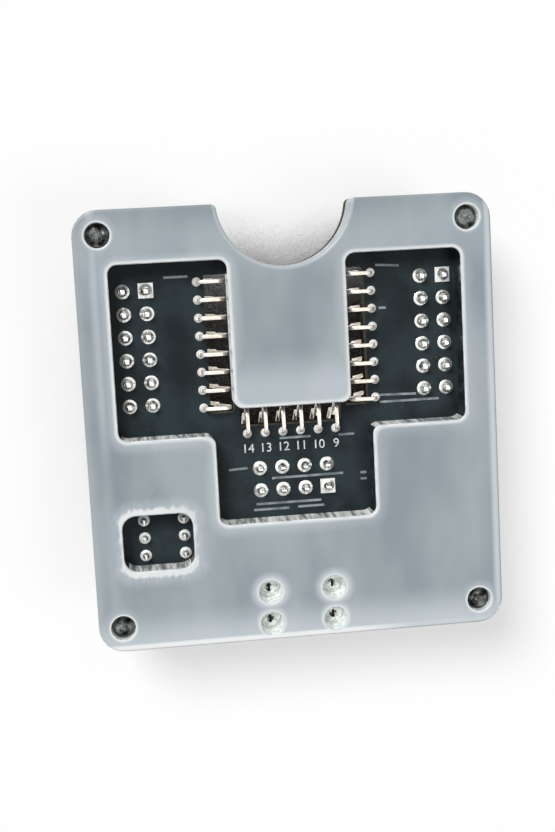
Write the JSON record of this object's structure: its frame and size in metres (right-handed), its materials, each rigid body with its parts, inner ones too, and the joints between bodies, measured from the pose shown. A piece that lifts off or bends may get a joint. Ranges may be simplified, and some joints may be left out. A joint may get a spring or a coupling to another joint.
{
  "type": "microcontroller programming board",
  "caption": "Programming fixture for small radio modules: black circuit board on a frosted back plate, with spring contacts, pin headers, socket, USB port and push switch.",
  "frame": {"origin": "centre of the board's outline, on the outer face of the back plate", "axes": "+Z from the back plate towards the components, +Y towards the finger notch, +X to the right of the component side seen with the notch at the top"},
  "size_m": [0.0456, 0.0486, 0.0131],
  "materials": {
    "frosted_acrylic": "frosted, satin, slightly translucent",
    "solder_mask": "glossy black solder mask over glass laminate",
    "black_screw": "black oxide",
    "header_plastic": "moulded, satin",
    "gilt_pin": "gold plated",
    "contact_metal": "pale plated spring strip",
    "solder": "bright solder",
    "shell_steel": "tinned sheet",
    "insulator_plastic": "moulded",
    "switch_base_plastic": "moulded",
    "switch_cover_plastic": "moulded, smooth",
    "plunger_plastic": "moulded, smooth",
    "spring_steel": "drawn wire",
    "tinned_metal": "tinned",
    "chip_plastic": "moulded epoxy",
    "resistor_ceramic": "glazed ceramic",
    "capacitor_ceramic": "sintered ceramic",
    "light_lens": "clear to milky resin"
  },
  "bodies": {
    "board": {"back_plate": "frosted_acrylic", "circuit_board": "solder_mask", "corner_screws": "black_screw", "left_header_block": "header_plastic", "left_header_pins": "gilt_pin", "right_header_block": "header_plastic", "right_header_pins": "gilt_pin", "socket_block": "header_plastic", "socket_contacts": "gilt_pin", "left_contact_tails": "contact_metal", "right_contact_tails": "contact_metal", "end_contact_tails": "contact_metal", "contact_solder": "solder", "header_solder": "solder", "socket_solder": "solder", "switch_solder": "solder", "usb_solder": "solder", "usb_shell": "shell_steel", "usb_insulator": "insulator_plastic", "usb_contacts": "gilt_pin", "switch_base": "switch_base_plastic", "switch_cover": "switch_cover_plastic", "switch_spring": "spring_steel", "switch_terminals": "tinned_metal", "interface_chip_body": "chip_plastic", "interface_chip_leads": "tinned_metal", "regulator_body": "chip_plastic", "regulator_leads": "tinned_metal", "transistor_bodies": "chip_plastic", "transistor_leads": "tinned_metal", "resistor_bodies": "resistor_ceramic", "resistor_caps": "tinned_metal", "capacitor_bodies": "capacitor_ceramic", "capacitor_caps": "tinned_metal", "light_bodies": "light_lens", "light_caps": "tinned_metal"},
    "left_fingers": {"left_contact_fingers": "contact_metal"},
    "right_fingers": {"right_contact_fingers": "contact_metal"},
    "end_fingers": {"end_contact_fingers": "contact_metal"},
    "plunger": {"switch_plunger": "plunger_plastic"}
  },
  "joints": [
    {"name": "right_finger_flex", "type": "hinge", "parent": "board", "child": "right_fingers", "pos_m": [0.00822, 0.009, 0.0016], "axis": [0, 1, 0], "range_deg": [0, 5], "stiffness_Nm_per_rad": 0.05},
    {"name": "left_finger_flex", "type": "hinge", "parent": "board", "child": "left_fingers", "pos_m": [-0.00822, 0.009, 0.0016], "axis": [0, -1, 0], "range_deg": [0, 5], "stiffness_Nm_per_rad": 0.05},
    {"name": "end_finger_flex", "type": "hinge", "parent": "board", "child": "end_fingers", "pos_m": [0, 0.00028, 0.0016], "axis": [1, 0, 0], "range_deg": [0, 5], "stiffness_Nm_per_rad": 0.05},
    {"name": "plunger_slide", "type": "slide", "parent": "board", "child": "plunger", "axis": [0, 0, -1], "range_m": [0, 0.0016], "stiffness_N_per_m": 600, "deforming": ["switch_spring"]}
  ]
}
